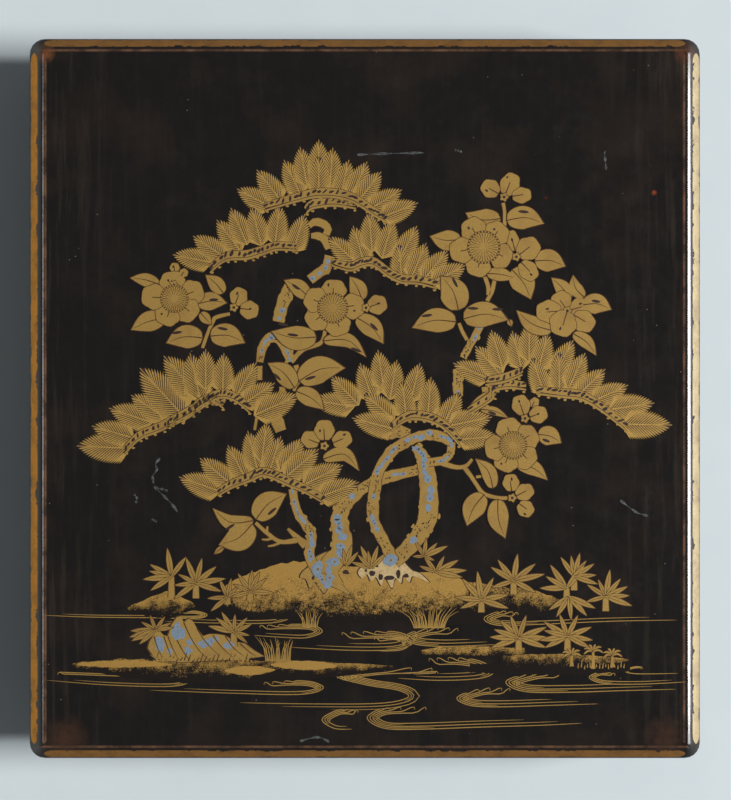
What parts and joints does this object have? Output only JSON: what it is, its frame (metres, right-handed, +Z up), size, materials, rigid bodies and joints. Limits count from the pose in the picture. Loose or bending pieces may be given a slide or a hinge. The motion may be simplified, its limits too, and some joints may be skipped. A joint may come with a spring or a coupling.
{
  "type": "lacquered writing box",
  "caption": "Shallow lacquered box with a bevelled lift-off lid decorated in gold, holding an inkstone, a water dropper and trays of writing tools.",
  "frame": {"origin": "middle of the box's underside", "axes": "+Z up, +Y towards the far edge as the lid's picture is read, +X to its right"},
  "size_m": [0.2256, 0.242, 0.046],
  "materials": {
    "black_lacquer": "black lacquer, gloss",
    "flaked_lacquer": "gold flakes sprinkled under clear lacquer",
    "red_lacquer": "red-brown lacquer, gloss",
    "slate": "honed slate",
    "gilt_copper": "gilt copper, worn",
    "bamboo": "polished bamboo",
    "brush_hair": "starched animal hair",
    "ink": "pressed soot and glue, satin",
    "steel": "polished steel"
  },
  "bodies": {
    "box": {"body_bottom_panel": "black_lacquer", "body_back_side": "black_lacquer", "body_left_side": "black_lacquer", "body_front_side": "black_lacquer", "body_right_side": "black_lacquer", "front_batten": "flaked_lacquer", "back_batten": "flaked_lacquer"},
    "lid": {"lid_top_panel": "black_lacquer", "lid_back_side": "black_lacquer", "lid_left_side": "black_lacquer", "lid_front_side": "black_lacquer", "lid_right_side": "black_lacquer"},
    "inkstone_board": {"inkstone_board": "flaked_lacquer"},
    "inkstone": {"inkstone": "slate"},
    "dropper": {"dropper_cup": "gilt_copper", "dropper_top_plate": "gilt_copper", "dropper_spout": "gilt_copper"},
    "left_tray": {"left_tray_floor": "flaked_lacquer", "left_tray_outer_side": "flaked_lacquer", "left_tray_inner_side": "flaked_lacquer", "left_tray_front_end": "flaked_lacquer", "left_tray_back_end": "flaked_lacquer", "left_tray_front_rest": "black_lacquer", "left_tray_back_rest": "black_lacquer"},
    "right_tray": {"right_tray_floor": "flaked_lacquer", "right_tray_outer_side": "flaked_lacquer", "right_tray_inner_side": "flaked_lacquer", "right_tray_front_end": "flaked_lacquer", "right_tray_back_end": "flaked_lacquer", "right_tray_front_rest": "black_lacquer", "right_tray_back_rest": "black_lacquer"},
    "brush_1": {"brush_1_handle": "bamboo", "brush_1_hair": "brush_hair"},
    "brush_1_cap": {"brush_1_cap": "bamboo"},
    "brush_2": {"brush_2_handle": "bamboo", "brush_2_hair": "brush_hair"},
    "brush_2_cap": {"brush_2_cap": "bamboo"},
    "ink_holder": {"ink_holder_rod": "red_lacquer"},
    "ink_holder_ring": {"ink_holder_ring": "gilt_copper"},
    "knife_sheath": {"knife_sheath": "red_lacquer"},
    "knife": {"knife_collar": "gilt_copper", "knife_handle": "red_lacquer", "knife_blade": "steel"},
    "awl_sheath": {"awl_sheath": "red_lacquer"},
    "awl": {"awl_handle": "red_lacquer", "awl_needle": "steel"},
    "ink_stick": {"ink_stick": "ink"}
  },
  "joints": [
    {"name": "lid_lift", "type": "slide", "parent": "box", "child": "lid", "axis": [0, 0, 1], "range_m": [0, 0.24]},
    {"name": "inkstone_board_lift", "type": "slide", "parent": "box", "child": "inkstone_board", "axis": [0, 0, 1], "range_m": [0, 0.0384]},
    {"name": "inkstone_lift", "type": "slide", "parent": "box", "child": "inkstone", "axis": [0, 0, 1], "range_m": [0, 0.0576]},
    {"name": "dropper_lift", "type": "slide", "parent": "box", "child": "dropper", "axis": [0, 0, 1], "range_m": [0, 0.0768]},
    {"name": "left_tray_lift", "type": "slide", "parent": "box", "child": "left_tray", "axis": [0, 0, 1], "range_m": [0, 0.0528]},
    {"name": "right_tray_lift", "type": "slide", "parent": "box", "child": "right_tray", "axis": [0, 0, 1], "range_m": [0, 0.0528]},
    {"name": "brush_1_lift", "type": "slide", "parent": "left_tray", "child": "brush_1", "axis": [0, 0, 1], "range_m": [0, 0.0384]},
    {"name": "brush_1_cap_draw", "type": "slide", "parent": "brush_1", "child": "brush_1_cap", "axis": [0, 1, 0], "range_m": [0, 0.048]},
    {"name": "brush_2_lift", "type": "slide", "parent": "left_tray", "child": "brush_2", "axis": [0, 0, 1], "range_m": [0, 0.0384]},
    {"name": "brush_2_cap_draw", "type": "slide", "parent": "brush_2", "child": "brush_2_cap", "axis": [0, 1, 0], "range_m": [0, 0.048]},
    {"name": "ink_holder_lift", "type": "slide", "parent": "left_tray", "child": "ink_holder", "axis": [0, 0, 1], "range_m": [0, 0.0384]},
    {"name": "knife_lift", "type": "slide", "parent": "right_tray", "child": "knife_sheath", "axis": [0, 0, 1], "range_m": [0, 0.0384]},
    {"name": "knife_draw", "type": "slide", "parent": "knife_sheath", "child": "knife", "axis": [0, 1, 0], "range_m": [0, 0.072]},
    {"name": "awl_lift", "type": "slide", "parent": "right_tray", "child": "awl_sheath", "axis": [0, 0, 1], "range_m": [0, 0.0384]},
    {"name": "awl_draw", "type": "slide", "parent": "awl_sheath", "child": "awl", "axis": [0, 1, 0], "range_m": [0, 0.048]},
    {"name": "ink_stick_lift", "type": "slide", "parent": "right_tray", "child": "ink_stick", "axis": [0, 0, 1], "range_m": [0, 0.0384]},
    {"name": "ink_holder_ring_slide", "type": "slide", "parent": "ink_holder", "child": "ink_holder_ring", "axis": [0, 1, 0], "range_m": [0, 0.022]}
  ],
  "couplings": [
    {"joint": "inkstone_board_lift", "follows": "lid_lift", "ratio": 0.16},
    {"joint": "inkstone_lift", "follows": "lid_lift", "ratio": 0.24},
    {"joint": "dropper_lift", "follows": "lid_lift", "ratio": 0.32},
    {"joint": "left_tray_lift", "follows": "lid_lift", "ratio": 0.22},
    {"joint": "right_tray_lift", "follows": "lid_lift", "ratio": 0.22},
    {"joint": "brush_1_lift", "follows": "lid_lift", "ratio": 0.16},
    {"joint": "brush_1_cap_draw", "follows": "lid_lift", "ratio": 0.2},
    {"joint": "brush_2_lift", "follows": "lid_lift", "ratio": 0.16},
    {"joint": "brush_2_cap_draw", "follows": "lid_lift", "ratio": 0.2},
    {"joint": "ink_holder_lift", "follows": "lid_lift", "ratio": 0.16},
    {"joint": "knife_lift", "follows": "lid_lift", "ratio": 0.16},
    {"joint": "knife_draw", "follows": "lid_lift", "ratio": 0.3},
    {"joint": "awl_lift", "follows": "lid_lift", "ratio": 0.16},
    {"joint": "awl_draw", "follows": "lid_lift", "ratio": 0.2},
    {"joint": "ink_stick_lift", "follows": "lid_lift", "ratio": 0.16}
  ]
}
